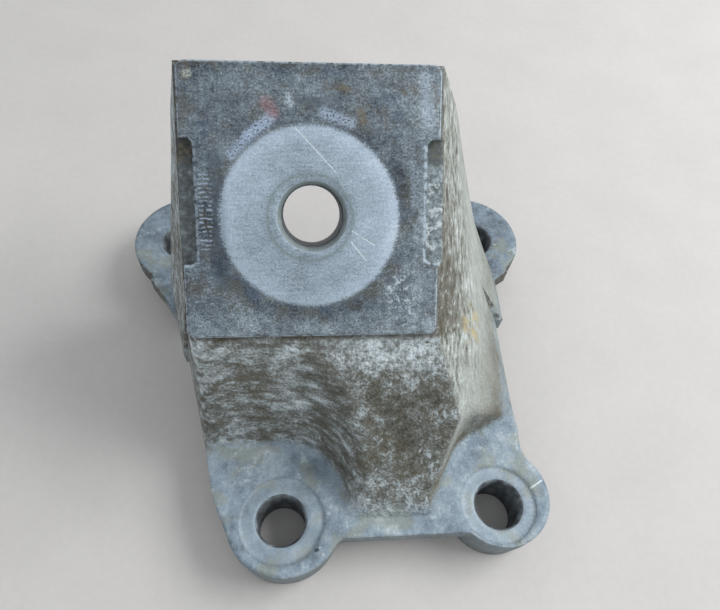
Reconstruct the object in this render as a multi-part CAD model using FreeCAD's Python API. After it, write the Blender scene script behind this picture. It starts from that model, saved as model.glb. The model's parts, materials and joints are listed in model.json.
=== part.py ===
import FreeCAD, Part
import math
import os

os.makedirs("parts", exist_ok=True)

# Cast aluminium engine mount, one solid.  Millimetres, +Z up, +Y to the rear.
# The feet stand on z = 0 and the origin is the bottom centre of the casting.
V = FreeCAD.Vector

# ---- bolt layout ---------------------------------------------------------
rear_span_x = 88.8         # between the two rear holes
bolt_span_y = 83.3         # from the rear holes forward to the front left one
rear_hole_y = 39.9
rear_hole_d = 12.0
front_hole_d = 11.5
fl_hole_x = -14.7          # front left hole
fr_hole_x = 38.8           # front right hole, a little further back
fr_hole_back = 1.5

# ---- flange, lugs and feet ----------------------------------------------
lug_top_z = 13.0           # upper face of the four bolt lugs
flange_t = 5.0             # thickness of the flange between the feet
rear_lug_r = 16.0
rear_lug_in = 1.4          # the lug outline sits this much nearer the centre
rear_lug_back = 0.4        # and this much further back than its hole
rear_foot_r = 12.0         # the thick foot under each rear hole
fl_lug_r = 14.2
fl_lug_dx = 0.8            # the lug's centre from its hole
fl_lug_dy = 1.3
fr_lug_r = 12.2
fr_lug_dx = 1.0
fr_lug_dy = 2.0
foot_draft = 0.5           # each foot loses this much radius down to the floor
web_ahead = 4.8            # front edge of the web, ahead of the front left hole
web_corner_r = 3.0         # inner corners where the flange meets the lugs
strip_front_y = 21.0       # cross strip between the rear lugs
strip_rear_y = 36.4
hole_chamfer = 0.5
under_chamfer = 0.4        # far rims of all holes
spot_depth = 0.3           # machined seats round the front holes
fl_spot_r = 10.2
fr_spot_r = 9.4

# ---- head and pad -------------------------------------------------------
tilt = 41.3                # slope of the pad, rear edge high
pad_height = 67.5          # bore centre on the pad face: above the floor,
pad_y = 4.7                # along the casting
pad_x = -6.6               # and left of its middle
bore_d = 13.0
bore_chamfer = 0.7
pad_half_w = 26.35
pad_up = 30.1              # bore centre to the pad's rear edge
pad_down = 25.15           # bore centre to its front edge
pad_raise = 1.5
pad_corner_r = 1.8
pad_edge_r = 0.6
head_t = 17.2              # pad face to the underside of the head
crown_lip = 0.6            # casting left standing round the pad
crown_front = 1.0          # the same at the front edge
rebate_u = 23.6            # side rebates: inner wall, depth and both ends
rebate_depth = 2.4
rebate_front_v = -9.8
rebate_rear_v = 15.5
rebate_corner_r = 1.5

# ---- tower --------------------------------------------------------------
side_wall_t = 7.0
front_wall_t = 7.5
wall_rear_y = 24.6         # rear ends of the side walls at the foot
knee_y = 33.6              # rearmost point of the walls, level with the head's underside
knee_r = 8.0
nose_ahead = 0.6           # front foot line of the nose, ahead of the front left hole
left_foot_rear_x = -45.8   # foot line of the left wall, rear and front end
left_foot_front_x = -29.1
right_foot_rear_x = 47.0   # foot line of the right wall
right_foot_front_x = 46.8
flare_back = 26.4          # front end of the right wall's foot, behind the front right hole
ridge_foot_x = 35.9        # the nose ridge meets the foot line here
crease_v = 6.0             # the right wall folds this far behind the crown's front
right_border_y = 10.6      # raised border at the right wall's rear foot: front end,
right_border_t = 2.4       # thickness at the foot
right_border_rise = 24.0   # and the height over which it dies out
left_border_y = 1.6        # the same on the left
left_border_t = 1.2
left_border_rise = 45.0
core_r = 4.0               # inner corners of the hollow

# ---- pockets for the front bolts ---------------------------------------
fl_pocket_r = 16.2
fl_pocket_dx = -0.3        # the round part's centre from the hole
fl_pocket_dy = 2.2
fl_pocket_draft = 15.6
fr_pocket_r = 12.0
fr_pocket_draft = 5.0
fr_nose_dx = -18.4         # wall along the nose: a foot point from the hole, and its heading
fr_nose_dy = -1.1
fr_nose_angle = 60.7
fr_side_dx = -6.9          # wall along the right side: the same
fr_side_dy = 16.7
fr_side_angle = 25.5

# ---- blends -------------------------------------------------------------
nose_left_r = 6.0
nose_right_r = 2.5
ridge_r = 3.0
left_front_r = 3.0
pocket_foot_r = 4.0

# ---- derived ------------------------------------------------------------
rear_hole_x = rear_span_x / 2
fl_hole = (fl_hole_x, rear_hole_y - bolt_span_y)
fr_hole = (fr_hole_x, fl_hole[1] + fr_hole_back)
fl_lug = (fl_hole[0] + fl_lug_dx, fl_hole[1] + fl_lug_dy)
fr_lug = (fr_hole[0] + fr_lug_dx, fr_hole[1] + fr_lug_dy)
fl_pocket = (fl_hole[0] + fl_pocket_dx, fl_hole[1] + fl_pocket_dy)
fr_nose_pt = (fr_hole[0] + fr_nose_dx, fr_hole[1] + fr_nose_dy)
fr_side_pt = (fr_hole[0] + fr_side_dx, fr_hole[1] + fr_side_dy)
web_front_y = fl_hole[1] - web_ahead
foot_front_y = fl_hole[1] - nose_ahead
flare_toe_y = fr_hole[1] + flare_back
flange_z = lug_top_z - flange_t
cos_t = math.cos(math.radians(tilt))
sin_t = math.sin(math.radians(tilt))
PAD = V(pad_x, pad_y, pad_height)
UP_SLOPE = V(0, cos_t, sin_t)     # up the pad, towards its rear edge
NORMAL = V(0, -sin_t, cos_t)      # out of the pad
REACH = 1.5 * (bolt_span_y + 2 * rear_lug_r)   # larger than the casting in every direction
RUN_ON = 0.6                      # the walls are ruled on past their rear ends by this share


# ---- helpers ------------------------------------------------------------
def on_pad(u, v, w):
    """Point u across, v up the slope and w out of the pad face."""
    return PAD + V(u, 0, 0) + UP_SLOPE * v + NORMAL * w


def lerp(a, b, s):
    return a + (b - a) * s


def along(edge, s):
    return edge.valueAt(lerp(edge.FirstParameter, edge.LastParameter, s))


def ring(pts):
    return Part.makePolygon(list(pts) + [pts[0]])


def plate(pts, step):
    return Part.Face(ring(pts)).extrude(step)


def prism(pts, z0, z1):
    return plate([V(x, y, z0) for x, y in pts], V(0, 0, z1 - z0))


def side_prism(pts):
    """Prism right across the casting from a (y, z) outline."""
    return plate([V(-REACH / 2, y, z) for y, z in pts], V(REACH, 0, 0))


def upright_box(x0, y0, x1, y1):
    """Box over a rectangle, from below the feet to above the head."""
    return Part.makeBox(x1 - x0, y1 - y0, REACH, V(x0, y0, -REACH / 4))


def sound(shape):
    loose = max(v.Tolerance for v in shape.Vertexes)
    return shape.isValid() and len(shape.Solids) == 1 and loose < 0.05


def blend(shape, r, pick):
    """Round the picked edges; a tight place gets a smaller radius, or stays sharp."""
    edges = [e for e in shape.Edges if e.Length > 0.05 and pick(e)]
    for share in (1.0, 0.85, 0.7):
        try:
            out = shape.makeFillet(r * share, edges)
        except Exception:
            continue
        if sound(out):
            return out
    return shape


# ---- tower --------------------------------------------------------------
def foot_x(side, y):
    s = (y - wall_rear_y) / (foot_front_y - wall_rear_y)
    if side < 0:
        return lerp(left_foot_rear_x, left_foot_front_x, s)
    return lerp(right_foot_rear_x, right_foot_front_x, s)


def hull(inset=0.0, drop=0.0, add_left=0.0, add_right=0.0, thin_left=0.0, thin_right=0.0):
    """Five warped walls ruled from the foot outline up to the crown outline.

    inset moves all walls inwards and drop takes them down below the feet. add_left and
    add_right thicken a side at its foot, and thin_left and thin_right thin it at the crown.
    """
    v_front = -(pad_down + crown_front)
    y_rear = lerp(wall_rear_y, foot_front_y, -RUN_ON)
    v_rear = lerp(pad_up, v_front, -RUN_ON)
    foot = [(foot_x(-1, y_rear) + inset - add_left, y_rear),
            (foot_x(-1, foot_front_y) + inset - add_left, foot_front_y),
            (ridge_foot_x - inset, foot_front_y),
            (foot_x(1, flare_toe_y) - inset + add_right, flare_toe_y),
            (foot_x(1, y_rear) - inset + add_right, y_rear)]
    left = inset + thin_left - pad_half_w - crown_lip
    right = pad_half_w + crown_lip - inset - thin_right
    crown = [(left, v_rear), (left, v_front), (right, v_front), (right, v_front + crease_v), (right, v_rear)]
    lower, upper = [], []
    for (x, y), (cu, cv) in zip(foot, crown):
        a, b = V(x, y, lug_top_z), on_pad(cu, cv, -pad_raise)
        lower.append(a - (b - a) * (drop / (b.z - a.z)))
        upper.append(b)
    return Part.makeLoft([ring(lower), ring(upper)], True, True)


def under_head(y):
    """Height of the head's underside."""
    p = on_pad(0, 0, -head_t)
    return p.z + (y - p.y) * sin_t / cos_t


crown_front_pt = on_pad(0, -(pad_down + crown_front), -pad_raise)
crown_rear_pt = on_pad(0, pad_up, -pad_raise)


def tower():
    """The walls and head as one block, seen from the side as a wedge with an upright rear edge."""
    knee = (knee_y, under_head(knee_y))
    side_view = side_prism([(crown_front_pt.y, crown_front_pt.z), (crown_rear_pt.y, crown_rear_pt.z), knee,
                            (wall_rear_y, lug_top_z), (foot_front_y, lug_top_z)])
    side_view = side_view.makeFillet(knee_r, [e for e in side_view.Edges
                                              if abs(along(e, 0.5).y - knee[0]) < 0.01
                                              and abs(along(e, 0.5).z - knee[1]) < 0.01])
    half = REACH / 2
    # a border leans in more than its wall does, and dips under it where it dies out
    height = crown_rear_pt.z - lug_top_z
    thin = right_border_t * (height / right_border_rise - 1)
    right_border = hull(add_right=right_border_t, thin_right=thin).common(upright_box(0, right_border_y, half, half))
    thin = left_border_t * (height / left_border_rise - 1)
    left_border = hull(add_left=left_border_t, thin_left=thin).common(upright_box(-half, left_border_y, 0, half))
    return hull().common(side_view).fuse([right_border.common(side_view), left_border.common(side_view)])


def tapered(outline_at, height):
    """Pocket tool from an outline that changes with height, its inner foot rounded."""
    tool = Part.makeLoft([outline_at(0.0), outline_at(height)], True, True)
    foot = [e for e in tool.Edges if all(abs(v.Point.z - lug_top_z) < 0.01 for v in e.Vertexes)]
    return tool.makeFillet(pocket_foot_r, [e for e in foot if max(abs(along(e, 0.5).x), abs(along(e, 0.5).y)) < 60])


def left_pocket():
    """Swept round the front left bolt, open to the front and to the left."""
    x, y = fl_pocket

    def outline_at(h):
        z = lug_top_z + h
        r = fl_pocket_r + math.tan(math.radians(fl_pocket_draft)) * h
        q = r * math.sqrt(0.5)
        p = [V(-75, y + r, z), V(x, y + r, z), V(x + r, y, z), V(x + r + 1.5, -75, z), V(-75, -75, z)]
        arc = Part.Arc(p[1], V(x + q, y + q, z), p[2]).toShape()
        return Part.Wire([Part.makeLine(p[0], p[1]), arc, Part.makeLine(p[2], p[3]),
                          Part.makeLine(p[3], p[4]), Part.makeLine(p[4], p[0])])

    return tapered(outline_at, 50.0)


def right_pocket():
    """Two walls with a round corner between them, open to the front and to the right."""
    a_dir = V(math.cos(math.radians(fr_nose_angle)), math.sin(math.radians(fr_nose_angle)), 0)
    b_dir = V(math.cos(math.radians(fr_side_angle)), math.sin(math.radians(fr_side_angle)), 0)
    half = (math.pi - a_dir.getAngle(b_dir)) / 2

    def outline_at(h):
        z = lug_top_z + h
        grow = math.tan(math.radians(fr_pocket_draft)) * h
        a = V(fr_nose_pt[0] - a_dir.y * grow, fr_nose_pt[1] + a_dir.x * grow, z)
        b = V(fr_side_pt[0] - b_dir.y * grow, fr_side_pt[1] + b_dir.x * grow, z)
        run = ((b.x - a.x) * b_dir.y - (b.y - a.y) * b_dir.x) / (a_dir.x * b_dir.y - a_dir.y * b_dir.x)
        corner = a + a_dir * run
        cut = fr_pocket_r / math.tan(half)
        p1, p2 = corner - a_dir * cut, corner + b_dir * cut
        inward = (b_dir - a_dir).normalize()
        arc_mid = corner + inward * (fr_pocket_r / math.sin(half) - fr_pocket_r)
        p0, p3 = a - a_dir * 40, corner + b_dir * 50
        p4, p5 = V(p3.x + 20, -90, z), V(p0.x, -90, z)
        return Part.Wire([Part.makeLine(p0, p1), Part.Arc(p1, arc_mid, p2).toShape(), Part.makeLine(p2, p3),
                          Part.makeLine(p3, p4), Part.makeLine(p4, p5), Part.makeLine(p5, p0)])

    return tapered(outline_at, 40.0)


nose_normal = V(0, lug_top_z - crown_front_pt.z, crown_front_pt.y - foot_front_y).normalize()


def on_nose_face(edge):
    return all(abs((along(edge, s) - crown_front_pt).dot(nose_normal)) < 0.05 for s in (0.1, 0.5, 0.9))


def on_skin(tool, edge):
    """True where an edge was cut by this tool."""
    pts = [along(edge, s) for s in (0.3, 0.6)]
    return all(tool.distToShape(Part.Vertex(p))[0] < 0.01 and not tool.isInside(p, 0.02, False) for p in pts)


def above_foot(edge):
    return along(edge, 0.5).z > lug_top_z + 0.2


def outer_form():
    left, right = left_pocket(), right_pocket()
    body = tower().cut(left).cut(right).removeSplitter()
    body = blend(body, nose_left_r,
                 lambda e: on_nose_face(e) and above_foot(e) and on_skin(left, e))
    body = blend(body, nose_right_r,
                 lambda e: on_nose_face(e) and above_foot(e) and on_skin(right, e))
    ridge_u = pad_half_w * 0.8
    body = blend(body, ridge_r,
                 lambda e: on_nose_face(e) and along(e, 0.5).x > pad_x + ridge_u and not on_skin(right, e))
    return blend(body, left_front_r,
                 lambda e: e.Length > 2 * left_front_r and above_foot(e) and not on_nose_face(e)
                 and along(e, 0.5).x < fl_pocket[0] - fl_pocket_r * 0.8 and on_skin(left, e))


# ---- hollow -------------------------------------------------------------
def hollow():
    """Room inside the walls, open at the rear and right through the flange."""
    slope = math.tan(math.radians(fl_pocket_draft))
    y_low = fl_pocket[1] + fl_pocket_r + front_wall_t
    floor_z = -2.0
    # the inner front face leans back like the pocket's wall, up to the underside of the head
    y_top = y_low + (under_head(y_low) - lug_top_z) * slope / (1 - slope * sin_t / cos_t)
    y_open = knee_y + knee_r
    side_view = side_prism([(y_low + (floor_z - lug_top_z) * slope, floor_z), (y_top, under_head(y_top)),
                            (y_open, under_head(y_open)), (y_open, floor_z)])
    room = hull(inset=side_wall_t, drop=lug_top_z - floor_z + 1.0).common(side_view)

    def inner_corner(e):
        p = along(e, 0.5)
        return e.Length > 10 and p.y < y_top + 2.0 and p.z > floor_z + 1.0 and p.x < ridge_foot_x

    return blend(room, core_r, inner_corner)


# ---- flange and feet ----------------------------------------------------
def flange():
    left_line = [(foot_x(-1, 14.0) - left_border_t, 14.0),
                 (foot_x(-1, left_border_y) - left_border_t, left_border_y),
                 (foot_x(-1, left_border_y), left_border_y),
                 (foot_x(-1, -24.0), -24.0),
                 (fl_lug[0] - 17.2, fl_lug[1] + 4.1), (fl_lug[0] - 15.0, fl_lug[1] - 0.8),
                 (fl_lug[0] - 13.1, fl_lug[1] - 5.4)]
    right_line = [(fr_lug[0] + 8.8, fr_lug[1] + 7.9), (fr_lug[0] + 7.2, fr_lug[1] + 11.9),
                  (fr_lug[0] + 7.5, fr_lug[1] + 16.9),
                  (foot_x(1, flare_toe_y), flare_toe_y), (foot_x(1, right_border_y), right_border_y),
                  (foot_x(1, right_border_y) + right_border_t, right_border_y),
                  (foot_x(1, wall_rear_y) + right_border_t, wall_rear_y)]
    outline = (left_line + [(fl_lug[0], fl_lug[1] - 3.0), (fl_lug[0] + 6.0, web_front_y),
                            (fr_lug[0] - 5.0, web_front_y), (fr_lug[0] + 5.0, fr_lug[1])]
               + right_line + [(rear_hole_x + 9.6, rear_hole_y - 12.4), (rear_hole_x, strip_rear_y),
                               (-rear_hole_x, strip_rear_y), (-rear_hole_x - 8.6, rear_hole_y - 13.9)])
    web = prism(outline, flange_z, lug_top_z)
    rear_x = rear_hole_x - rear_lug_in
    rear_y = rear_hole_y + rear_lug_back
    lugs = [(fl_lug[0], fl_lug[1], fl_lug_r), (fr_lug[0], fr_lug[1], fr_lug_r),
            (-rear_x, rear_y, rear_lug_r), (rear_x, rear_y, rear_lug_r)]
    web = web.fuse([Part.makeCylinder(r, flange_t, V(x, y, flange_z)) for x, y, r in lugs]).removeSplitter()

    def inner_corner(e):
        p = along(e, 0.5)
        upright = abs(e.Length - flange_t) < 0.01
        return upright and abs(p.x) < rear_x and (p.y < web_front_y + 0.1 or p.y > strip_rear_y - 0.1)

    web = blend(web, web_corner_r, inner_corner)
    feet = [(fl_lug[0], fl_lug[1], fl_lug_r), (fr_lug[0], fr_lug[1], fr_lug_r),
            (-rear_hole_x, rear_hole_y, rear_foot_r), (rear_hole_x, rear_hole_y, rear_foot_r)]
    cones = [Part.makeCone(r - foot_draft, r, flange_z, V(x, y, 0)) for x, y, r in feet]
    return web.fuse(cones).removeSplitter()


# ---- pad ----------------------------------------------------------------
def pad_block(u0, v0, u1, v1, top, depth):
    corners = [on_pad(u0, v0, top), on_pad(u1, v0, top), on_pad(u1, v1, top), on_pad(u0, v1, top)]
    return plate(corners, NORMAL * -depth)


def raised_pad():
    root = pad_raise + 3.0
    pad = pad_block(-pad_half_w, -pad_down, pad_half_w, pad_up, 0.0, root)
    pad = pad.makeFillet(pad_corner_r, [e for e in pad.Edges if abs(e.Length - root) < 0.01])
    rim = [e for e in pad.Edges if abs((along(e, 0.5) - PAD).dot(NORMAL)) < 0.01]
    return pad.makeFillet(pad_edge_r, rim)


def rebate(side):
    over = 3.0
    tool = pad_block(side * rebate_u, rebate_front_v, side * (pad_half_w + 9.0), rebate_rear_v,
                     over, over + rebate_depth)
    inner = [e for e in tool.Edges if abs(e.Length - over - rebate_depth) < 0.01
             and abs(abs(along(e, 0.5).x - PAD.x) - rebate_u) < 0.1]
    return tool.makeFillet(rebate_corner_r, inner)


# ---- holes --------------------------------------------------------------
def bore(mouth, out, r, length, chamfer):
    """Tools for a through hole from mouth against out, chamfered at both rims."""
    end = mouth - out * length
    return [Part.makeCylinder(r, length + 6.0, mouth + out * 3.0, out * -1),
            Part.makeCone(r + chamfer + 1.0, r, chamfer + 1.0, mouth + out, out * -1),
            Part.makeCone(r + under_chamfer + 1.0, r, under_chamfer + 1.0, end - out, out)]


def holes():
    up = V(0, 0, 1)
    tools = bore(PAD, NORMAL, bore_d / 2, head_t, bore_chamfer)
    for (x, y), spot_r in ((fl_hole, fl_spot_r), (fr_hole, fr_spot_r)):
        seat = V(x, y, lug_top_z - spot_depth)
        tools += bore(seat, up, front_hole_d / 2, seat.z, hole_chamfer)
        tools.append(Part.makeCylinder(spot_r, 2.0, seat))
    for side in (-1, 1):
        tools += bore(V(side * rear_hole_x, rear_hole_y, lug_top_z), up, rear_hole_d / 2, lug_top_z, hole_chamfer)
    return tools


# ---- the casting --------------------------------------------------------
room = hollow()
walls = outer_form().cut(room)
base = flange().cut(room.common(upright_box(-REACH / 2, -REACH / 2, REACH / 2, strip_front_y)))
mount = walls.fuse([base, raised_pad()])
mount = mount.cut([rebate(-1), rebate(1)] + holes()).removeSplitter()
mount.exportStep("parts/engine_mount.step")
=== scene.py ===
"""Dresses the engine mount casting: worn cast skin, milled pad, bolt seats and a plain studio."""

import json
import math
from types import SimpleNamespace

import bmesh
import bpy
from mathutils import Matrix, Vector, noise


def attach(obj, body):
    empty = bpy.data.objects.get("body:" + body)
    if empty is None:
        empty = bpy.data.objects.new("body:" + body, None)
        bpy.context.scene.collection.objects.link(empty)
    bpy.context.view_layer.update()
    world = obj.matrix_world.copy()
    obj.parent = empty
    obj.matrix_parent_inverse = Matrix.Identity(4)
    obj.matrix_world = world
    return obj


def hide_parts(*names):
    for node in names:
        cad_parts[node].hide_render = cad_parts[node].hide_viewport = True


bl_info = {
    "name": "Engine Mount",
    "version": (1, 0, 0),
    "blender": (4, 5, 0),
    "location": "3D View > Sidebar > Mount",
    "description": "A weathered cast aluminium engine mount on a pale studio floor",
    "category": "Object",
}

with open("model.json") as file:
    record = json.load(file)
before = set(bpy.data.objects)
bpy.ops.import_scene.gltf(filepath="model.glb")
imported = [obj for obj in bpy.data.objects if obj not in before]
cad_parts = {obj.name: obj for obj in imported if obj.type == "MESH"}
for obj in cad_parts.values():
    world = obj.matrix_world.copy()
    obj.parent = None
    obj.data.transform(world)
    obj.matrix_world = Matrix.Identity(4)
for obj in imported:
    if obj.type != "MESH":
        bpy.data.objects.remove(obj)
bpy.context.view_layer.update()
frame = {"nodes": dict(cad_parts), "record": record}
MM = 0.001
TO_MM = 1000.0

# the pad's own axes come from the record: its bore and its face
MOUNTS = {m["name"]: m for m in frame["record"]["mounts"]}
BORE = MOUNTS["engine_bore"]
BORE_R = BORE["dims"]["r_mm"] * MM
PAD_OUT = Vector(MOUNTS["engine_pad"]["axis"]).normalized()
PAD_UP = PAD_OUT.cross(Vector((1, 0, 0)))
PAD_TILT = math.atan2(-PAD_OUT.y, PAD_OUT.z)
BORE_TO_FACE = (Vector(MOUNTS["engine_pad"]["pos_m"]) - Vector(BORE["pos_m"])).dot(PAD_OUT)
PAD_CENTRE = Vector(BORE["pos_m"]) + PAD_OUT * BORE_TO_FACE

# where the pad, its bore and its rebates end, with a little room for their edges; u runs across the pad,
# v up its slope and w out of its face
PAD_FRONT_V = -26.0 * MM
PAD_FOOT_W = -1.55 * MM
PAD_RIM_R = 20.0 * MM
BORE_END_W = -18.0 * MM
BORE_MOUTH = 1.5 * MM
REBATE_MID_V = 2.85 * MM
REBATE_HALF_V = 12.8 * MM
REBATE_IN_U = 23.4 * MM
REBATE_OUT_U = 26.3 * MM
REBATE_FLOOR_W = -2.6 * MM

# the lugs' top, the holes' mouths, the line through the front holes, and the left pocket's leaning wall
LUG_TOP = 13.0 * MM
HOLE_MOUTH = 0.7 * MM
SEAT_ROOM = 1.0 * MM
FRONT_LINE_TURN = math.radians(1.6)
POCKET_SHIFT_MM = (-0.3, 2.2, 0.0)
POCKET_R_MM = 16.0
POCKET_LEAN = math.radians(15.6)

# a face looks along an axis from this cosine up, and lies on a level within these distances
FLAT = 0.9
GROUND_ROOM = 0.01 * MM
FACE_ROOM = 0.02 * MM
EDGE_ROOM = 0.1 * MM

# how the mesh is worked: what is welded, halved, worn and roughened. Edges bent by more than the first
# angle aren't moved, and those bent by more than the second look sharp
WELD = 0.002 * MM
MOST_HALVINGS = 9
SEAT_WEAR = 0.28 * MM
SEAT_WEAR_WIDTH = 2.5 * MM
WORN_LOW = LUG_TOP - 0.2 * MM
WORN_HIGH = LUG_TOP + 0.05 * MM
ROUGH_FROM = LUG_TOP + 0.5 * MM
SWELL_ACROSS_MM = 7.0
GRIT_ACROSS_MM = 3.2
GRIT_SHIFT = Vector((9, 4, 2))
KEPT_EDGE = math.radians(28)
SHARP_EDGE = math.radians(32)

# the stage, in metres and radians
FLOOR_HALF = 4.0
FLOOR_GAP = 0.02 * MM
LAMP_SIZE = (0.55, 0.4)
LAMP_PLACE = (0.56, 0.06, 0.56)
CAMERA_PLACE = (-8.71 * MM, -76.30 * MM, 166.41 * MM)
CAMERA_TURN = (math.radians(31.275), math.radians(-4.063), math.radians(-3.4))
CLIP_START = 0.005
SENSOR_MM = 36.0


def on_pad(p):
    """A point's place on the pad: across, up the slope and out of the face, in metres."""
    d = p - PAD_CENTRE
    return d.x, d.dot(PAD_UP), d.dot(PAD_OUT)


def bolt_holes():
    """Centre and radius of the four upright holes, in metres: the rear two, then the front two."""
    rear = MOUNTS["rear_bolts"]
    front = MOUNTS["front_bolts"]
    rear_half = Vector((rear["dims"]["spacing_x_mm"] * MM / 2, 0, 0))
    front_line = Vector((math.cos(FRONT_LINE_TURN), math.sin(FRONT_LINE_TURN), 0))
    front_half = front_line * (front["dims"]["pcd_mm"] * MM / 2)
    holes = []
    for mount, half in ((rear, rear_half), (front, front_half)):
        for side in (-1, 1):
            holes.append((Vector(mount["pos_m"]) + half * side, mount["dims"]["hole_r_mm"] * MM))
    return holes


HOLES = bolt_holes()


# ---- small helpers -------------------------------------------------------
def linear(hex_colour):
    """sRGB hex such as '8A9094' to linear RGBA."""
    parts = [int(hex_colour[i:i + 2], 16) / 255 for i in (0, 2, 4)]
    return tuple(c / 12.92 if c <= 0.04045 else ((c + 0.055) / 1.055) ** 2.4 for c in parts) + (1.0,)


def add(tree, kind, inputs=(), out=0, stops=(), **settings):
    """Adds a node with its settings, sets or links its inputs, and gives back one output."""
    node = tree.nodes.new("ShaderNode" + kind)
    for name, value in settings.items():
        setattr(node, name, value)
    for number, (place, colour) in enumerate(stops):
        marks = node.color_ramp.elements
        stop = marks[number] if number < 2 else marks.new(place)
        stop.position = place
        stop.color = linear(colour)
    for socket, value in inputs.items() if isinstance(inputs, dict) else enumerate(inputs):
        if isinstance(value, bpy.types.NodeSocket):
            tree.links.new(value, node.inputs[socket])
        else:
            node.inputs[socket].default_value = value
    return node.outputs[out]


def within(tree, *limits):
    """1 where each value has passed from its first limit to its second, soft between, else 0.

    A limit that is already a share from 0 to 1 is taken as it is, and all are multiplied.
    """
    share = None
    for limit in limits:
        part = limit
        if isinstance(limit, tuple):
            value, start, end = limit
            span = {"Value": value, "From Min": min(start, end), "From Max": max(start, end),
                    "To Min": float(start > end), "To Max": float(start < end)}
            part = add(tree, "MapRange", span, interpolation_type="SMOOTHSTEP")
        share = part if share is None else add(tree, "Math", (share, part), operation="MULTIPLY")
    return share


def coat(tree, under, colour, *limits, strength=1.0):
    """Lays a colour, hex or a pattern's, over another where the limits hold."""
    if isinstance(colour, str):
        colour = linear(colour)
    share = add(tree, "Math", (within(tree, *limits), strength), operation="MULTIPLY")
    return add(tree, "Mix", {0: share, 6: under, 7: colour}, out=2, data_type="RGBA")


def lean(tree, tone, *terms):
    """Raises or lowers a tone by each term's amount where its limits hold."""
    for amount, *limits in terms:
        tone = add(tree, "Math", (within(tree, *limits), amount, tone), operation="MULTIPLY_ADD")
    return tone


def blotches(tree, place, size_mm, detail=3.0, roughness=0.55, stretch=(1.0, 1.0, 1.0)):
    """Random blotches about size_mm across, longer along an axis whose stretch is under 1."""
    scaled = add(tree, "VectorMath", (place, [s / size_mm for s in stretch]), operation="MULTIPLY")
    return add(tree, "TexNoise", {"Vector": scaled, "Scale": 1.0, "Detail": detail, "Roughness": roughness})


def mottle(tree, tone, *layers):
    """Adds patterns to a tone, each by its own weight, so that it varies round its old value."""
    for pattern, weight in layers:
        centred = add(tree, "Math", (pattern, 0.5), operation="SUBTRACT")
        tone = add(tree, "Math", (centred, weight, tone), operation="MULTIPLY_ADD")
    return tone


def places(tree):
    """Where each point is, in mm: whole and x, y, z on the casting, pad and u, v, w along the pad's axes."""
    here = add(tree, "TexCoord", out="Object")
    whole = add(tree, "VectorMath", {0: here, "Scale": TO_MM}, operation="SCALE")
    to_pad = {"Vector": whole, "Location": PAD_CENTRE * TO_MM, "Rotation": (PAD_TILT, 0.0, 0.0)}
    pad = add(tree, "Mapping", to_pad, vector_type="TEXTURE")
    x, y, z = [add(tree, "SeparateXYZ", (whole,), out=i) for i in range(3)]
    u, v, w = [add(tree, "SeparateXYZ", (pad,), out=i) for i in range(3)]
    return SimpleNamespace(whole=whole, x=x, y=y, z=z, pad=pad, u=u, v=v, w=w)


def round_an_axis(tree, xyz, centre, typical_r):
    """Positions in mm unrolled round an axis, (arc, outward, along it), and the distance outward."""
    dx = add(tree, "Math", (xyz[0], centre[0]), operation="SUBTRACT")
    dy = add(tree, "Math", (xyz[1], centre[1]), operation="SUBTRACT")
    turn = add(tree, "Math", (dx, dy), operation="ARCTAN2")
    arc = add(tree, "Math", (turn, typical_r), operation="MULTIPLY")
    flat = add(tree, "CombineXYZ", (dx, dy))
    reach = add(tree, "VectorMath", (flat,), out="Value", operation="LENGTH")
    return add(tree, "CombineXYZ", (arc, reach, xyz[2])), reach


def outward(tree):
    """The three parts of the surface's outward direction."""
    normal = add(tree, "NewGeometry", out="Normal")
    return [add(tree, "SeparateXYZ", (normal,), out=i) for i in range(3)]


def soft_corners(tree, radius_mm):
    """A normal rounded over sharp corners, and how near an outer or inner corner is."""
    rounded = add(tree, "Bevel", {"Radius": radius_mm * MM}, samples=6)
    plain = add(tree, "NewGeometry", out="Normal")
    dot = add(tree, "VectorMath", (rounded, plain), out="Value", operation="DOT_PRODUCT")
    return rounded, within(tree, (dot, 0.99, 0.85))


def along_line(tree, across_up, start, end, width_mm, soft_mm):
    """1 along a straight mark between two places, given by two of the surface's positions in mm."""
    run = Vector(end) - Vector(start)
    length = run.length
    run.normalize()
    du = add(tree, "Math", (across_up[0], start[0]), operation="SUBTRACT")
    dv = add(tree, "Math", (across_up[1], start[1]), operation="SUBTRACT")
    flat = add(tree, "CombineXYZ", (du, dv))
    along = add(tree, "VectorMath", (flat, (run.x, run.y, 0.0)), out="Value", operation="DOT_PRODUCT")
    held = add(tree, "Clamp", (along, 0.0, length))
    foot = add(tree, "VectorMath", {0: (run.x, run.y, 0.0), "Scale": held}, operation="SCALE")
    away = add(tree, "VectorMath", (flat, foot), out="Value", operation="DISTANCE")
    return within(tree, (away, width_mm / 2 + soft_mm, width_mm / 2))


def new_material(name, metallic, roughness):
    """A material by that name, with its node tree and its shader."""
    material = bpy.data.materials.new(name)
    material.use_nodes = True
    shader = material.node_tree.nodes["Principled BSDF"]
    shader.inputs["Metallic"].default_value = metallic
    shader.inputs["Roughness"].default_value = roughness
    return material, material.node_tree, shader


def dress(tree, shader, colour, tint, height, rounded, strength, depth_mm):
    """Links the tinted colour and a bump over the rounded normal to the shader."""
    tinted = add(tree, "Mix", {0: 1.0, 6: colour, 7: tint}, out=2, data_type="RGBA", blend_type="MULTIPLY")
    tree.links.new(tinted, shader.inputs["Base Color"])
    relief = {"Height": height, "Normal": rounded, "Strength": strength, "Distance": depth_mm * MM}
    tree.links.new(add(tree, "Bump", relief), shader.inputs["Normal"])


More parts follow.
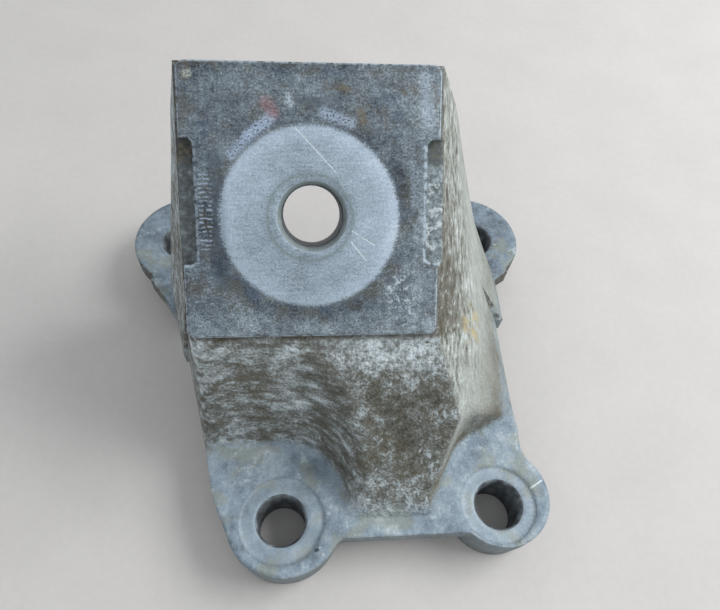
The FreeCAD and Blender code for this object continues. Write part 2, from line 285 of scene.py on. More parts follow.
# ---- finishes ------------------------------------------------------------
# In these recipes a limit such as (at.x, 2.0, -4.0) starts where x is 2 mm and holds fully from -4 mm on.
def nose_grime(tree, at, layers):
    """Chalk under the crown and grime over the nose, paler at its edges and foot, with white drips."""
    tone = lean(tree, 0.515,
                (0.17, (at.v, -38.0, -30.0), (at.x, -7.0, 7.0)),
                (0.06, (at.v, -34.0, -29.0), (at.x, 2.0, -4.0)),
                (-0.055, (at.v, -36.0, -42.0), (at.v, -62.0, -54.0), (at.x, 1.0, 7.0)),
                (-0.03, (at.pocket_r, 14.5, 13.2), (at.x, -10.0, -4.0)),
                (0.04, (at.x, -4.0, -12.0), (at.v, -31.0, -36.0), (at.z, 25.0, 31.0)),
                (0.03, (at.x, 22.0, 30.0), (at.v, -28.0, -34.0)),
                (0.025, (at.v, -57.0, -63.0)))
    tone = mottle(tree, tone, (layers.cloud, 0.35), (layers.patch, 0.5), (layers.stroke, 0.62),
                  (layers.grit, 0.45))
    colour = add(tree, "ValToRGB", (tone,), stops=(
        (0.22, "38372F"), (0.38, "56564E"), (0.49, "6A6D68"),
        (0.56, "828886"), (0.65, "A3ADAF"), (0.77, "CDD8DC")))
    olive = blotches(tree, at.whole, 7.0, detail=4.0)
    drip = blotches(tree, at.pad, 2.4, detail=4.0, roughness=0.62, stretch=(1.5, 0.55, 1.0))
    colour = coat(tree, colour, "655F4A", (olive, 0.48, 0.62), (tone, 0.58, 0.48), strength=0.3)
    return coat(tree, colour, "B7C4C8", (drip, 0.60, 0.67), (layers.patch, 0.48, 0.56), strength=0.85)


def wall_oxide(tree, at, layers):
    """Pale oxide on the right wall, coarse near the crown, amber in one place and brown at its foot."""
    near_crown = within(tree, (at.w, -22.0, -12.0), (at.z, 28.0, 46.0))
    tone = lean(tree, 0.535, (-0.09, (at.z, 34.0, 20.0)), (-0.025, near_crown), (0.01, (at.y, -20.0, 5.0)))
    tone = mottle(tree, tone, (layers.cloud, 0.25), (layers.fall, 0.3), (layers.patch, 0.25),
                  (layers.grit, 0.2), (layers.fall, near_crown))
    colour = add(tree, "ValToRGB", (tone,), stops=(
        (0.26, "53534D"), (0.37, "73766F"), (0.47, "8F948E"),
        (0.57, "A3A9A4"), (0.68, "BAC3C1"), (0.80, "D6DFE0")))
    amber = blotches(tree, at.whole, 4.0, detail=4.0)
    colour = coat(tree, colour, "B5A478", (amber, 0.46, 0.6), (at.x, 27.0, 29.0), (at.z, 33.0, 37.0),
                  (at.z, 47.0, 43.0), (at.y, -12.0, -8.0), (at.y, 1.0, -3.0), strength=0.7)
    colour = coat(tree, colour, "6E695B", (layers.fall, 0.44, 0.56), (at.z, 34.0, 22.0), (at.y, 2.0, -10.0),
                  strength=0.55)
    return coat(tree, colour, "57503F", (layers.patch, 0.46, 0.56), (at.z, 23.0, 19.0), (at.y, 2.0, -6.0),
                strength=0.7)


def clean_lug(tree, at, layers):
    """Smoother blue-grey metal with salts and dark specks, one scratch and one pit."""
    # the front right lug is painted lighter as painted light, and the rear lugs darker, the right one most,
    # as painted shade
    tone = lean(tree, 0.5,
                (0.04, (at.x, 20.0, 34.0), (at.y, 10.0, -10.0)),
                (-0.05, (at.y, 10.0, 30.0)),
                (-0.07, (at.y, 10.0, 30.0), (at.x, 10.0, 30.0)))
    tone = mottle(tree, tone, (layers.patch, 0.55), (layers.cloud, 0.35), (layers.dab, 0.35),
                  (layers.grit, 0.25))
    colour = add(tree, "ValToRGB", (tone,), stops=(
        (0.26, "56616A"), (0.40, "75848F"), (0.51, "8797A3"), (0.62, "9AA9B1"), (0.78, "BBC6CB")))
    stain = blotches(tree, at.whole, 8.0)
    salt = blotches(tree, at.whole, 3.0, detail=5.0, roughness=0.7)
    specks = blotches(tree, at.whole, 2.0, detail=3.0)
    scratch = along_line(tree, (at.x, at.y), (47.2, -38.6), (50.8, -36.6), 0.25, 0.2)
    pit = along_line(tree, (at.x, at.y), (-6.6, -50.5), (-6.3, -50.4), 0.5, 0.35)
    colour = coat(tree, colour, "8B8F80", (stain, 0.52, 0.62), strength=0.5)
    colour = coat(tree, colour, "B9C4C9", (salt, 0.58, 0.68), strength=0.6)
    colour = coat(tree, colour, "4A545C", (specks, 0.30, 0.24), strength=0.6)
    colour = coat(tree, colour, "D5DEE2", scratch, strength=0.85)
    return coat(tree, colour, "2C3236", pit, strength=0.85)


def cast_skin(tint):
    """Sand-cast aluminium with years of road dirt and oxide, mostly covered, so hardly metallic.

    The eye sees brown-olive grime on the nose and in the left pocket, chalky white corrosion under
    the crown, a pale streaked right wall, and smoother blue-grey lugs.
    """
    material, tree, shader = new_material("weathered_sand_cast_aluminium", 0.12, 0.78)
    at = places(tree)
    nx, ny, nz = outward(tree)
    pocket_mid = HOLES[2][0] * TO_MM + Vector(POCKET_SHIFT_MM)
    unrolled, reach = round_an_axis(tree, (at.x, at.y, at.z), pocket_mid, POCKET_R_MM)
    at.pocket_r = add(tree, "Math", (at.z, -math.tan(POCKET_LEAN), reach), operation="MULTIPLY_ADD")

    # stains of 17 and 5.5 mm, dabs of 1.7 mm, and the mould's sand grains, about 0.3 mm across, drawn at
    # 0.6 mm so that they show
    layers = SimpleNamespace(
        cloud=blotches(tree, at.whole, 17.0),
        patch=blotches(tree, at.whole, 5.5, detail=4.0, roughness=0.6),
        dab=blotches(tree, at.whole, 1.7, detail=3.0, roughness=0.6),
        grit=blotches(tree, at.whole, 0.6, detail=2.0, roughness=0.6),
        fall=blotches(tree, at.pad, 1.5, detail=3.0, roughness=0.6, stretch=(1.3, 0.5, 1.0)))

    # the dirt lies in strokes: along the pocket's arc, and down the right wall
    swept = blotches(tree, unrolled, 1.8, detail=3.0, roughness=0.55, stretch=(0.5, 1.0, 1.1))
    by_wall = within(tree, (at.pocket_r, 16.5, 13.8))
    left_of_nose = within(tree, (at.x, -7.0, -15.0))
    in_pocket = add(tree, "Math", (by_wall, left_of_nose), operation="MAXIMUM")
    on_right_wall = within(tree, (nx, 0.28, 0.5))
    stroke = add(tree, "Mix", {0: in_pocket, 2: layers.dab, 3: swept})
    layers.stroke = add(tree, "Mix", {0: on_right_wall, 2: stroke, 3: layers.fall})

    # the nose, the right wall over it, and the lugs and the flange below a ragged edge of dirt
    colour = nose_grime(tree, at, layers)
    colour = coat(tree, colour, wall_oxide(tree, at, layers), (nx, 0.32, 0.56))
    edge_of_dirt = lean(tree, at.z, (3.6, (at.x, -8.0, -2.0), (at.x, 29.0, 24.0)))
    edge_of_dirt = mottle(tree, edge_of_dirt, (layers.patch, 7.0), (layers.stroke, 2.5))
    colour = coat(tree, colour, clean_lug(tree, at, layers), (edge_of_dirt, 20.5, 16.5), (nz, 0.25, 0.75))

    # the lugs' sides are duller, and dirtier towards the ground
    colour = coat(tree, colour, "7D878B", (at.z, 13.2, 12.4), (nz, 0.7, 0.3), strength=0.8)
    colour = coat(tree, colour, "5D5C50", (at.z, 9.0, 2.0), (layers.dab, 0.45, 0.6), (nz, 0.7, 0.3),
                  strength=0.6)

    # the corner under the pad's edge gets dark oily dirt and painted shade; outer corners are worn pale, the
    # lugs' rims partly as a painted highlight
    # painted shade, with oily dirt, in the crease under the pad's front edge
    colour = coat(tree, colour, "4A4231", (at.v, -26.9, -25.7), (ny, -0.2, -0.4), (layers.dab, 0.3, 0.5),
                  strength=0.75)
    rounded, corner = soft_corners(tree, 0.8)
    colour = coat(tree, colour, "AEB8BC", corner, (layers.dab, 0.4, 0.6), (nz, 0.95, 0.8), strength=0.35)
    # the lugs' rims: worn pale, and partly a painted highlight on their rounded edge
    colour = coat(tree, colour, "B6C2C8", corner, (layers.patch, 0.4, 0.56), (at.z, 12.0, 12.6),
                  (at.z, 13.4, 13.1), strength=0.35)

    height = mottle(tree, 0.5, (layers.patch, 0.4), (layers.stroke, 0.9), (layers.grit, 0.6))
    on_lug = within(tree, (at.z, 16.0, 13.5), (nz, 0.7, 0.9))
    smoothing = add(tree, "Math", (on_lug, 0.7), operation="MULTIPLY")
    height = add(tree, "Mix", {0: smoothing, 2: height, 3: 0.5})
    dress(tree, shader, colour, tint, height, rounded, 0.75, 0.9)
    return material


# Marks on the pad, in mm across and up it: start, end, width, softness, colour and strength. Later ones
# lie over earlier ones.
RUBS = (
    # blue-grey rubs beside and above the washer's ring, and two pale dabs
    ((-16.0, 12.2), (-12.6, 16.0), 0.4, 1.3, "9DB0C8", 0.8),
    ((-12.6, 16.0), (-8.4, 19.2), 0.6, 1.4, "A6B8D0", 0.9),
    ((2.5, 20.4), (8.0, 18.6), 0.4, 1.6, "A3B4C8", 0.85),
    ((-4.6, 23.4), (-4.2, 22.2), 0.6, 0.9, "AFC0CC", 0.8),
    ((-24.3, 27.5), (-23.8, 27.5), 0.6, 0.9, "B9BFB4", 0.7),
    # a trace of red paint, two brown stains and a dark one
    ((-9.0, 22.4), (-7.6, 20.4), 0.8, 1.6, "A07B84", 0.6),
    ((9.8, 20.8), (10.6, 19.0), 0.3, 1.2, "75643F", 0.6),
    ((6.0, 25.4), (7.6, 24.9), 0.3, 0.9, "75643F", 0.5),
    ((-2.6, 22.9), (5.2, 22.6), 0.2, 1.3, "465261", 0.6),
    # rubbed edges, pale partly from wear and partly as a painted highlight, and the oily strip inside the
    # left rebate
    ((22.8, 27.6), (23.6, 19.0), 0.6, 1.5, "A9B9CB", 0.5),
    ((20.5, 11.0), (20.8, 2.0), 0.3, 0.8, "98A8B8", 0.45),
    ((-19.3, 12.0), (-18.8, -14.0), 0.9, 2.0, "3F4D5C", 0.55),
    ((-24.0, -21.0), (-21.0, -23.8), 0.6, 1.6, "98A9B6", 0.4),
)
# Scratches on the ring, in mm across and up the pad: start, end, width and depth's share.
SCRATCHES = (
    ((-3.2, 17.6), (5.0, 8.8), 0.12, 1.0),
    ((5.0, 8.8), (8.8, 1.0), 0.05, 0.3),
    ((8.2, -2.9), (12.9, -5.9), 0.14, 0.9),
    ((8.0, -5.2), (11.0, -9.0), 0.18, 1.0),
    ((-7.5, 10.4), (-1.6, 7.6), 0.04, 0.25),
    ((-9.0, -10.0), (-2.0, -15.0), 0.04, 0.3),
    ((-12.0, 13.0), (-9.0, 10.0), 0.04, 0.3),
    ((-6.0, 14.5), (-3.0, 12.5), 0.04, 0.2),
    ((10.2, -1.2), (12.2, -2.4), 0.05, 0.5),
)


# The cutter's steps beside the left rebate, in mm; the wave node draws 20 / tau bands in each unit.
CHATTER_MM = 0.8727
CHATTER_SCALE = math.tau / 20 / CHATTER_MM


def stained_face(tree, at, layers):
    """Dark blue-grey oxide, darkest at the ring's upper left and paler at the right and the front."""
    tone = lean(tree, 0.475,
                (-0.05, (at.u, -14.0, -24.0)),
                (0.03, (at.u, 10.0, 22.0)),
                (0.05, (at.v, -17.0, -23.0)),
                (-0.09, (at.ring_r, 23.5, 20.5), (at.v, 14.0, 6.0)),
                (-0.07, (at.ring_r, 24.5, 20.5), (at.u, -8.0, 2.0), (at.v, -4.0, 4.0)),
                (0.05, (at.u, 20.0, 25.0), (at.v, 10.0, 20.0)),
                # a painted shade along the rear edge, where the pad rounds over
                (-0.06, (at.v, 27.0, 29.5)),
                (0.05, (at.u, -20.0, -24.0), (at.v, -20.0, -24.0)))
    tone = mottle(tree, tone, (layers.cloud, 0.35), (layers.patch, 0.4), (layers.dab, 0.45),
                  (layers.grit, 0.6), (layers.passes, 0.12))
    colour = add(tree, "ValToRGB", (tone,), stops=(
        (0.24, "282E33"), (0.36, "4A555E"), (0.46, "657179"),
        (0.55, "7D8A92"), (0.65, "9AA8B0"), (0.78, "C4D0D6")))
    brown = blotches(tree, at.pad, 4.5, detail=4.0, roughness=0.65)
    olive = blotches(tree, at.pad, 6.0, detail=4.0)
    blue = blotches(tree, at.pad, 5.0, detail=4.0)
    colour = coat(tree, colour, "6B5F48", (brown, 0.56, 0.66), (at.v, 12.0, 20.0), strength=0.35)
    colour = coat(tree, colour, "5C5741", (olive, 0.47, 0.62), (tone, 0.56, 0.42), strength=0.35)
    return coat(tree, colour, "4A5C78", (blue, 0.54, 0.66), (tone, 0.56, 0.42), strength=0.3)


def washer_ring(tree, at, layers, ring_r_mm):
    """Bright metal that a washer covered, bluest at its rim and duller round the bore."""
    tone = lean(tree, 0.47,
                (0.1, (at.ring_r, ring_r_mm - 4.5, ring_r_mm - 0.8)),
                (-0.07, (at.ring_r, 10.8, 8.8)),
                (0.05, (at.u, 2.0, 12.0)),
                (-0.05, (at.v, -2.0, -12.0)))
    tone = mottle(tree, tone, (layers.cloud, 0.35), (layers.patch, 0.2), (layers.dab, 0.25),
                  (layers.grit, 0.6), (layers.passes, 0.3))
    colour = add(tree, "ValToRGB", (tone,), stops=(
        (0.24, "66747C"), (0.38, "8595A0"), (0.48, "98A8B3"), (0.60, "A9BACB"), (0.76, "C9D6E2")))
    return coat(tree, colour, "71807F", (at.ring_r, 9.3, 8.9), (at.ring_r, 8.2, 8.6), strength=0.5)


def scratched(tree, at):
    """Where the scratches are, as a share of the deepest one's depth."""
    scores = 0.0
    for start, end, width, depth in SCRATCHES:
        line = along_line(tree, (at.u, at.v), start, end, width, 0.14)
        line = add(tree, "Math", (line, depth), operation="MULTIPLY")
        scores = add(tree, "Math", (scores, line), operation="MAXIMUM")
    return scores


def milled_pad(tint, ring_tint, ring_r_mm):
    """Face-milled aluminium gone dull with oxide and oil, but for the ring that a washer kept bright.

    The eye sees a dark blue-grey mottle, a pale ring, and a few rubs, scratches and salts.
    """
    material, tree, shader = new_material("stained_milled_aluminium_pad", 0.15, 0.6)
    at = places(tree)
    _, at.ring_r = round_an_axis(tree, (at.u, at.v, at.w), (-0.5, -0.2), ring_r_mm)

    # stains of 13, 4 and 1.1 mm; pores of about 0.1 mm are drawn at 0.42 mm and the cutter's feed lines,
    # about 0.2 mm apart, at 0.56 mm, so that they show
    layers = SimpleNamespace(
        cloud=blotches(tree, at.pad, 13.0),
        patch=blotches(tree, at.pad, 4.0, detail=5.0, roughness=0.65),
        dab=blotches(tree, at.pad, 1.1, detail=4.0, roughness=0.7),
        grit=blotches(tree, at.pad, 0.42, detail=2.0, roughness=0.7),
        passes=blotches(tree, at.pad, 1.0, detail=3.0, roughness=0.7, stretch=(0.22, 1.8, 1.0)))

    colour = stained_face(tree, at, layers)
    ring = washer_ring(tree, at, layers, ring_r_mm)
    ring = add(tree, "Mix", {0: 1.0, 6: ring, 7: ring_tint}, out=2, data_type="RGBA", blend_type="MULTIPLY")
    ragged = mottle(tree, at.ring_r, (layers.grit, 3.0), (layers.dab, 1.6))
    inside = within(tree, (ragged, ring_r_mm + 0.45, ring_r_mm - 0.35))
    colour = coat(tree, colour, ring, inside)

    for start, end, width, soft, shade, strength in RUBS:
        rub = along_line(tree, (at.u, at.v), start, end, width, soft)
        colour = coat(tree, colour, shade, rub, (layers.grit, 0.34, 0.56), strength=strength)
    scores = scratched(tree, at)
    colour = coat(tree, colour, "CFD9DF", scores, (layers.grit, 0.3, 0.5), strength=0.75)

    # white salts in the front right corner, over a dark stain
    salty = along_line(tree, (at.u, at.v), (18.0, -15.0), (20.5, -20.5), 3.5, 3.5)
    stain = blotches(tree, at.pad, 2.5, detail=4.0)
    salt = blotches(tree, at.pad, 1.3, detail=4.0, roughness=0.7)
    colour = coat(tree, colour, "4D5862", salty, (stain, 0.52, 0.42), strength=0.7)
    colour = coat(tree, colour, "C3CFD5", salty, (salt, 0.53, 0.62), strength=0.8)

    # chatter: short bright steps that the cutter left beside the left rebate
    bands = {"Vector": at.pad, "Scale": CHATTER_SCALE, "Distortion": 3.0, "Detail": 2.0}
    step = add(tree, "TexWave", bands, bands_direction="Y")
    zone = along_line(tree, (at.u, at.v), (-21.5, 8.5), (-21.7, -5.5), 2.2, 0.7)
    colour = coat(tree, colour, "9FB0C4", zone, (step, 0.55, 0.8), (layers.dab, 0.42, 0.56), strength=0.7)

    # the rounded rim is worn bright and carries a painted highlight, and the short wall under it is painted
    # black, partly oil and partly painted shade
    normal = add(tree, "NewGeometry", out="Normal")
    lie = add(tree, "VectorMath", (normal, PAD_OUT), out="Value", operation="DOT_PRODUCT")
    # painted highlight, with wear, along the pad's rounded rim
    colour = coat(tree, colour, "A4B4C1", (lie, 0.985, 0.9), (layers.dab, 0.4, 0.54), strength=0.75)
    # painted shade, with oil, on the short wall under the rim
    colour = coat(tree, colour, "2E2C26", (at.w, -0.6, -1.0), strength=0.8)
    rounded, _ = soft_corners(tree, 0.5)
    tree.links.new(add(tree, "MapRange", (inside, 0.0, 1.0, 0.66, 0.5)), shader.inputs["Roughness"])
    height = mottle(tree, 0.5, (layers.patch, 0.5), (layers.dab, 0.6), (layers.grit, 0.35), (scores, -0.5))
    dress(tree, shader, colour, tint, height, rounded, 0.35, 0.3)
    return material


def milled_rebate(tint):
    """The same milling a step lower, where dirt packs in.

    The eye sees it dark on the left, chalky on the right and brown at the rear ends.
    """
    material, tree, shader = new_material("dirty_milled_aluminium_rebate", 0.12, 0.72)
    at = places(tree)
    patch = blotches(tree, at.pad, 2.4, detail=4.0, roughness=0.65)
    dab = blotches(tree, at.pad, 0.9, detail=3.0, roughness=0.7)
    chalk = blotches(tree, at.pad, 1.8, detail=4.0, roughness=0.65)
    on_right = within(tree, (at.u, 0.0, 1.0))
    tone = mottle(tree, 0.45, (patch, 0.5), (dab, 0.5))
    tone = lean(tree, tone, (0.10, (at.u, -1.0, 1.0)), (-0.13, (at.v, 9.5, 11.5)))
    colour = add(tree, "ValToRGB", (tone,), stops=(
        (0.15, "35322A"), (0.32, "4E5150"), (0.45, "626B6D"),
        (0.58, "8A979B"), (0.70, "ABB8BB"), (0.85, "D3DCDE")))
    colour = coat(tree, colour, "6F6850", (at.v, 9.5, 12.0), (dab, 0.48, 0.6), strength=0.7)
    colour = coat(tree, colour, "D3DBDE", (chalk, 0.53, 0.62), on_right, (at.v, 9.0, 6.0), strength=0.6)
    colour = coat(tree, colour, "5B6366", (chalk, 0.44, 0.36), on_right, strength=0.8)
    rounded, corner = soft_corners(tree, 0.6)
    colour = coat(tree, colour, "A3ADB0", corner, (dab, 0.42, 0.56), (at.v, 9.0, 7.0), strength=0.4)
    dress(tree, shader, colour, tint, mottle(tree, 0.5, (patch, 0.5), (dab, 0.5)), rounded, 0.5, 0.4)
    return material


def spot_face(tint):
    """Spot-faced aluminium: the cutter left it flat, so it looks even and a little smoother than the lug."""
    material, tree, shader = new_material("spot_faced_aluminium_seat", 0.2, 0.62)
    at = places(tree)
    patch = blotches(tree, at.whole, 5.0, detail=4.0)
    grit = blotches(tree, at.whole, 0.7, detail=3.0, roughness=0.7)
    stain = blotches(tree, at.whole, 6.0)
    # the right seat is painted lighter, as painted light from the right
    tone = lean(tree, 0.47, (0.08, (at.x, 5.0, 15.0)))
    tone = mottle(tree, tone, (patch, 0.55), (grit, 0.3))
    colour = add(tree, "ValToRGB", (tone,), stops=((0.28, "63717B"), (0.5, "8B9BA6"), (0.72, "B0BCC3")))
    colour = coat(tree, colour, "8A8E80", (stain, 0.52, 0.64), strength=0.45)
    rounded, _ = soft_corners(tree, 0.4)
    dress(tree, shader, colour, tint, mottle(tree, 0.5, (patch, 0.5), (grit, 0.5)), rounded, 0.2, 0.2)
    return material


def drilled_bore(tint):
    """Drilled aluminium, dark with old oil and paler at its mouth, where a bolt has rubbed."""
    material, tree, shader = new_material("oily_drilled_aluminium_bore", 0.25, 0.6)
    at = places(tree)
    patch = blotches(tree, at.whole, 2.5, detail=4.0, stretch=(1.0, 1.0, 0.6))
    colour = add(tree, "ValToRGB", (patch,), stops=((0.32, "3C4145"), (0.5, "5B6266"), (0.7, "868F93")))
    rounded, corner = soft_corners(tree, 0.5)
    colour = coat(tree, colour, "86929A", corner, (patch, 0.4, 0.55), strength=0.4)
    colour = coat(tree, colour, "8C9A9A", (at.w, -2.2, -1.4), (at.v, -20.0, -10.0), strength=0.55)
    dress(tree, shader, colour, tint, patch, rounded, 0.2, 0.2)
    return material


def paper_floor(colour):
    """Matt uncoated paper, pressed flat: even, faintly fibrous and pale, with no shine."""
    material, tree, shader = new_material("matt_pale_paper", 0.0, 0.95)
    here = add(tree, "TexCoord", out="Object")
    whole = add(tree, "VectorMath", {0: here, "Scale": TO_MM}, operation="SCALE")
    # fibres a fraction of a millimetre wide are drawn as soft flecks of 2.2 mm, so that they show
    cloud = blotches(tree, whole, 26.0)
    flecks = blotches(tree, whole, 2.2, detail=3.0, roughness=0.6)
    tone = mottle(tree, 0.5, (cloud, 0.5), (flecks, 0.4))
    shade = add(tree, "ValToRGB", (tone,), stops=((0.3, "F3F3F3"), (0.7, "FFFFFF")))
    tinted = add(tree, "Mix", {0: 1.0, 6: shade, 7: colour}, out=2, data_type="RGBA", blend_type="MULTIPLY")
    tree.links.new(tinted, shader.inputs["Base Color"])
    return material


# ---- the casting ---------------------------------------------------------
SKIN, PAD, REBATE, SEAT, HOLE = range(5)


def finish_of(centre, normal, seat_rs):
    """Which finish a face has, from where it is and where it looks."""
    u, v, w = on_pad(centre)
    out = normal.dot(PAD_OUT)
    r = math.hypot(u, v)
    on_head = v > PAD_FRONT_V
    # the feet's undersides are cut flat like the seats
    if centre.z < GROUND_ROOM:
        return SEAT
    if on_head and w > -FACE_ROOM and out > FLAT:
        return PAD
    if r < BORE_R + BORE_MOUTH and abs(out) < FLAT and BORE_END_W < w < EDGE_ROOM:
        return HOLE
    # the pad's rounded rim and the short wall under it
    if on_head and w > PAD_FOOT_W and out < FLAT and r > PAD_RIM_R:
        return PAD
    beside_pad = abs(v - REBATE_MID_V) < REBATE_HALF_V and abs(u) > REBATE_IN_U
    if beside_pad and REBATE_FLOOR_W < w < 0 and (out > FLAT or abs(u) < REBATE_OUT_U):
        return REBATE
    if centre.z < LUG_TOP + EDGE_ROOM:
        for (c, hole_r), seat_r in zip(HOLES, seat_rs):
            away = math.hypot(centre.x - c.x, centre.y - c.y)
            if away < hole_r + HOLE_MOUTH and normal.z < FLAT:
                return HOLE
            if seat_r and away < seat_r and centre.z > LUG_TOP - SEAT_ROOM:
                return SEAT
    return SKIN


def refine(bm, longest):
    """Halves long edges outside the holes until none is longer than this, so that skin can be roughened."""
    for _ in range(MOST_HALVINGS):
        long_edges = [e for e in bm.edges if e.calc_length() > longest
                      and any(f.material_index != HOLE for f in e.link_faces)]
        if not long_edges:
            break
        bmesh.ops.subdivide_edges(bm, edges=long_edges, cuts=1)
        bmesh.ops.triangulate(bm, faces=[f for f in bm.faces if len(f.verts) > 3])


def soften_seats(bm, seat_rs):
    """Wears the step round each bolt seat into a shallow dish."""
    for (c, _), seat_r in zip(HOLES, seat_rs):
        for vert in bm.verts:
            over = math.hypot(vert.co.x - c.x, vert.co.y - c.y) - seat_r
            on_top = WORN_LOW < vert.co.z < WORN_HIGH
            if seat_r and on_top and -EDGE_ROOM < over < SEAT_WEAR_WIDTH:
                part = max(0.0, over / SEAT_WEAR_WIDTH)
                vert.co.z -= SEAT_WEAR * (1 - part * part * (3 - 2 * part))


def roughen(bm, swell, grit):
    """Moves the tower's skin in and out along its normals, away from sharp edges and machined faces."""
    bm.normal_update()
    for vert in bm.verts:
        on_skin = all(f.material_index == SKIN for f in vert.link_faces)
        if not on_skin or vert.co.z < ROUGH_FROM:
            continue
        if any(len(e.link_faces) == 2 and e.calc_face_angle(0) > KEPT_EDGE for e in vert.link_edges):
            continue
        p = vert.co * TO_MM
        slow = swell * noise.noise(p / SWELL_ACROSS_MM)
        quick = grit * noise.noise(p / GRIT_ACROSS_MM + GRIT_SHIFT)
        vert.co += vert.normal * (slow + quick)


class CastingSettings(bpy.types.PropertyGroup):
    """Sizes and colours of the casting's surface."""
    skin_tint: bpy.props.FloatVectorProperty(
        name="Cast skin", description="Tints all but the pad", subtype="COLOR",
        size=4, default=linear("FFFFFF"))
    pad_tint: bpy.props.FloatVectorProperty(
        name="Pad", description="Tints the pad, its ring included", subtype="COLOR", size=4,
        default=linear("FFFFFF"))
    ring_tint: bpy.props.FloatVectorProperty(
        name="Washer ring colour", description="Tints the bright ring round the bore", subtype="COLOR",
        size=4, default=linear("FFFFFF"))
    ring_width: bpy.props.FloatProperty(
        name="Washer ring width", description="Outside diameter of the bright ring round the bore",
        unit="LENGTH", default=36.6 * MM)
    left_seat: bpy.props.FloatProperty(
        name="Left seat", description="Diameter of the front left bolt seat", unit="LENGTH",
        default=20.4 * MM)
    right_seat: bpy.props.FloatProperty(
        name="Right seat", description="Diameter of the front right bolt seat", unit="LENGTH",
        default=18.8 * MM)
    longest_edge: bpy.props.FloatProperty(
        name="Longest edge", description="Mesh edges outside the holes are no longer than this",
        unit="LENGTH", default=1.6 * MM)
    swell: bpy.props.FloatProperty(
        name="Swell", description="Slow unevenness of the cast skin", unit="LENGTH", default=0.16 * MM)
    grit: bpy.props.FloatProperty(
        name="Grit", description="Grain of the cast skin", unit="LENGTH", default=0.09 * MM)


class StageSettings(bpy.types.PropertyGroup):
    """Sizes and colours of the floor, the light and the camera."""
    floor_colour: bpy.props.FloatVectorProperty(
        name="Floor", description="Colour of the paper", subtype="COLOR", size=4, default=linear("CAC8C5"))
    key_power: bpy.props.FloatProperty(
        name="Key light", description="Power of the large soft lamp", unit="POWER", default=5.0)
    sky: bpy.props.FloatProperty(
        name="Sky", description="Strength of the even light all round", default=0.71, min=0.0, max=1.0)
    sky_colour: bpy.props.FloatVectorProperty(
        name="Sky colour", description="Colour of the even light all round", subtype="COLOR", size=4,
        default=linear("F4F6FA"))
    lens: bpy.props.FloatProperty(
        name="Lens", description="Focal length of the camera", unit="CAMERA", default=30.83)


class MOUNT_OT_casting(bpy.types.Operator):
    """Roughens the one-piece casting and gives each of its faces its finish"""
    bl_idname = "mount.casting"
    bl_label = "Casting"

    def execute(self, context):
        settings = context.scene.mount_casting
        node = frame["nodes"]["engine_mount"]
        seat_rs = (0.0, 0.0, settings.left_seat / 2, settings.right_seat / 2)
        bm = bmesh.new()
        bm.from_mesh(node.data)
        bmesh.ops.remove_doubles(bm, verts=bm.verts, dist=WELD)
        bm.normal_update()
        for face in bm.faces:
            face.material_index = finish_of(face.calc_center_median(), face.normal, seat_rs)
            face.smooth = True
        refine(bm, settings.longest_edge)
        soften_seats(bm, seat_rs)
        roughen(bm, settings.swell, settings.grit)
        mesh = bpy.data.meshes.new("casting")
        bm.to_mesh(mesh)
        bm.free()
        mesh.set_sharp_from_angle(angle=SHARP_EDGE)
        tint = tuple(settings.skin_tint)
        pad_tint = tuple(settings.pad_tint)
        ring_tint = tuple(settings.ring_tint)
        pad_finish = milled_pad(pad_tint, ring_tint, settings.ring_width / MM / 2)
        for finish in (cast_skin(tint), pad_finish, milled_rebate(tint), spot_face(tint), drilled_bore(tint)):
            mesh.materials.append(finish)
        casting = bpy.data.objects.new("casting", mesh)
        context.scene.collection.objects.link(casting)
        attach(casting, "root")
        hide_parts("engine_mount")
        return {"FINISHED"}


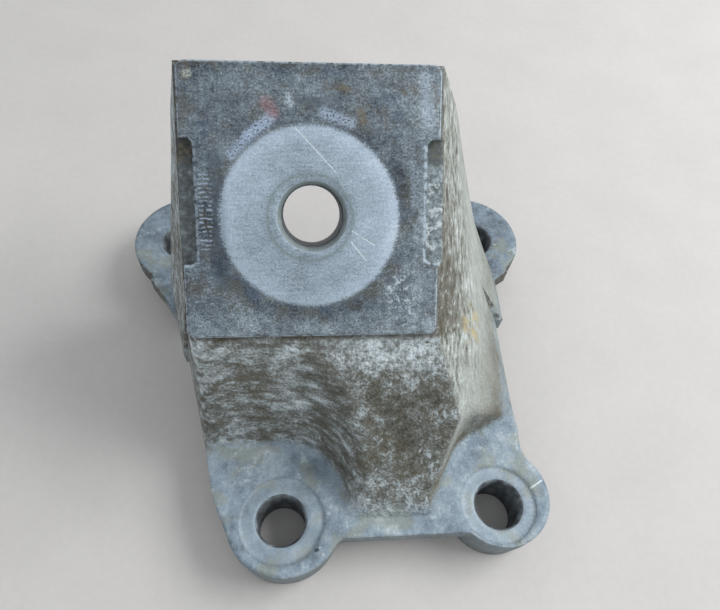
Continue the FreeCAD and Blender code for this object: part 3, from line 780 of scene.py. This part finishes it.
class MOUNT_OT_stage(bpy.types.Operator):
    """Makes the pale floor, the soft light and the camera"""
    bl_idname = "mount.stage"
    bl_label = "Stage"

    def execute(self, context):
        settings = context.scene.mount_stage
        mesh = bpy.data.meshes.new("floor")
        corners = [(FLOOR_HALF * i, FLOOR_HALF * j, 0) for i, j in ((-1, -1), (1, -1), (1, 1), (-1, 1))]
        mesh.from_pydata(corners, [], [(0, 1, 2, 3)])
        mesh.materials.append(paper_floor(tuple(settings.floor_colour)))
        floor = bpy.data.objects.new("floor", mesh)
        floor.location.z = -FLOOR_GAP
        context.scene.collection.objects.link(floor)

        lamp = bpy.data.lights.new("key", "AREA")
        lamp.shape = "RECTANGLE"
        lamp.size, lamp.size_y = LAMP_SIZE
        lamp.energy = settings.key_power
        key = bpy.data.objects.new("key", lamp)
        key.location = LAMP_PLACE
        key.rotation_euler = (-key.location).to_track_quat("-Z", "Y").to_euler()
        context.scene.collection.objects.link(key)

        world = bpy.data.worlds.new("soft_sky")
        world.use_nodes = True
        sky = world.node_tree.nodes["Background"]
        sky.inputs["Color"].default_value = tuple(settings.sky_colour)
        sky.inputs["Strength"].default_value = settings.sky
        context.scene.world = world

        lens = bpy.data.cameras.new("camera")
        lens.lens = settings.lens
        lens.sensor_width = SENSOR_MM
        lens.clip_start = CLIP_START
        camera = bpy.data.objects.new("camera", lens)
        camera.location = CAMERA_PLACE
        camera.rotation_euler = CAMERA_TURN
        context.scene.collection.objects.link(camera)
        context.scene.camera = camera
        context.scene.view_settings.view_transform = "Standard"
        return {"FINISHED"}


class MOUNT_PT_panel(bpy.types.Panel):
    """Lists what can be made and its sizes and colours"""
    bl_idname = "MOUNT_PT_panel"
    bl_label = "Engine mount"
    bl_space_type = "VIEW_3D"
    bl_region_type = "UI"
    bl_category = "Mount"

    def draw(self, context):
        scene = context.scene
        for group, operator in ((scene.mount_casting, "mount.casting"), (scene.mount_stage, "mount.stage")):
            box = self.layout.box()
            for name in group.bl_rna.properties.keys():
                if name not in ("rna_type", "name"):
                    box.prop(group, name)
            box.operator(operator)


CLASSES = (CastingSettings, StageSettings, MOUNT_OT_casting, MOUNT_OT_stage, MOUNT_PT_panel)


def register():
    """Adds the classes and the scene's two groups of settings."""
    for cls in CLASSES:
        bpy.utils.register_class(cls)
    bpy.types.Scene.mount_casting = bpy.props.PointerProperty(type=CastingSettings)
    bpy.types.Scene.mount_stage = bpy.props.PointerProperty(type=StageSettings)


def unregister():
    """Takes them away again, last first."""
    del bpy.types.Scene.mount_casting
    del bpy.types.Scene.mount_stage
    for cls in reversed(CLASSES):
        bpy.utils.unregister_class(cls)


def main():
    """Makes the casting and the stage."""
    register()
    bpy.ops.mount.casting()
    bpy.ops.mount.stage()


if __name__ == "__main__":
    main()
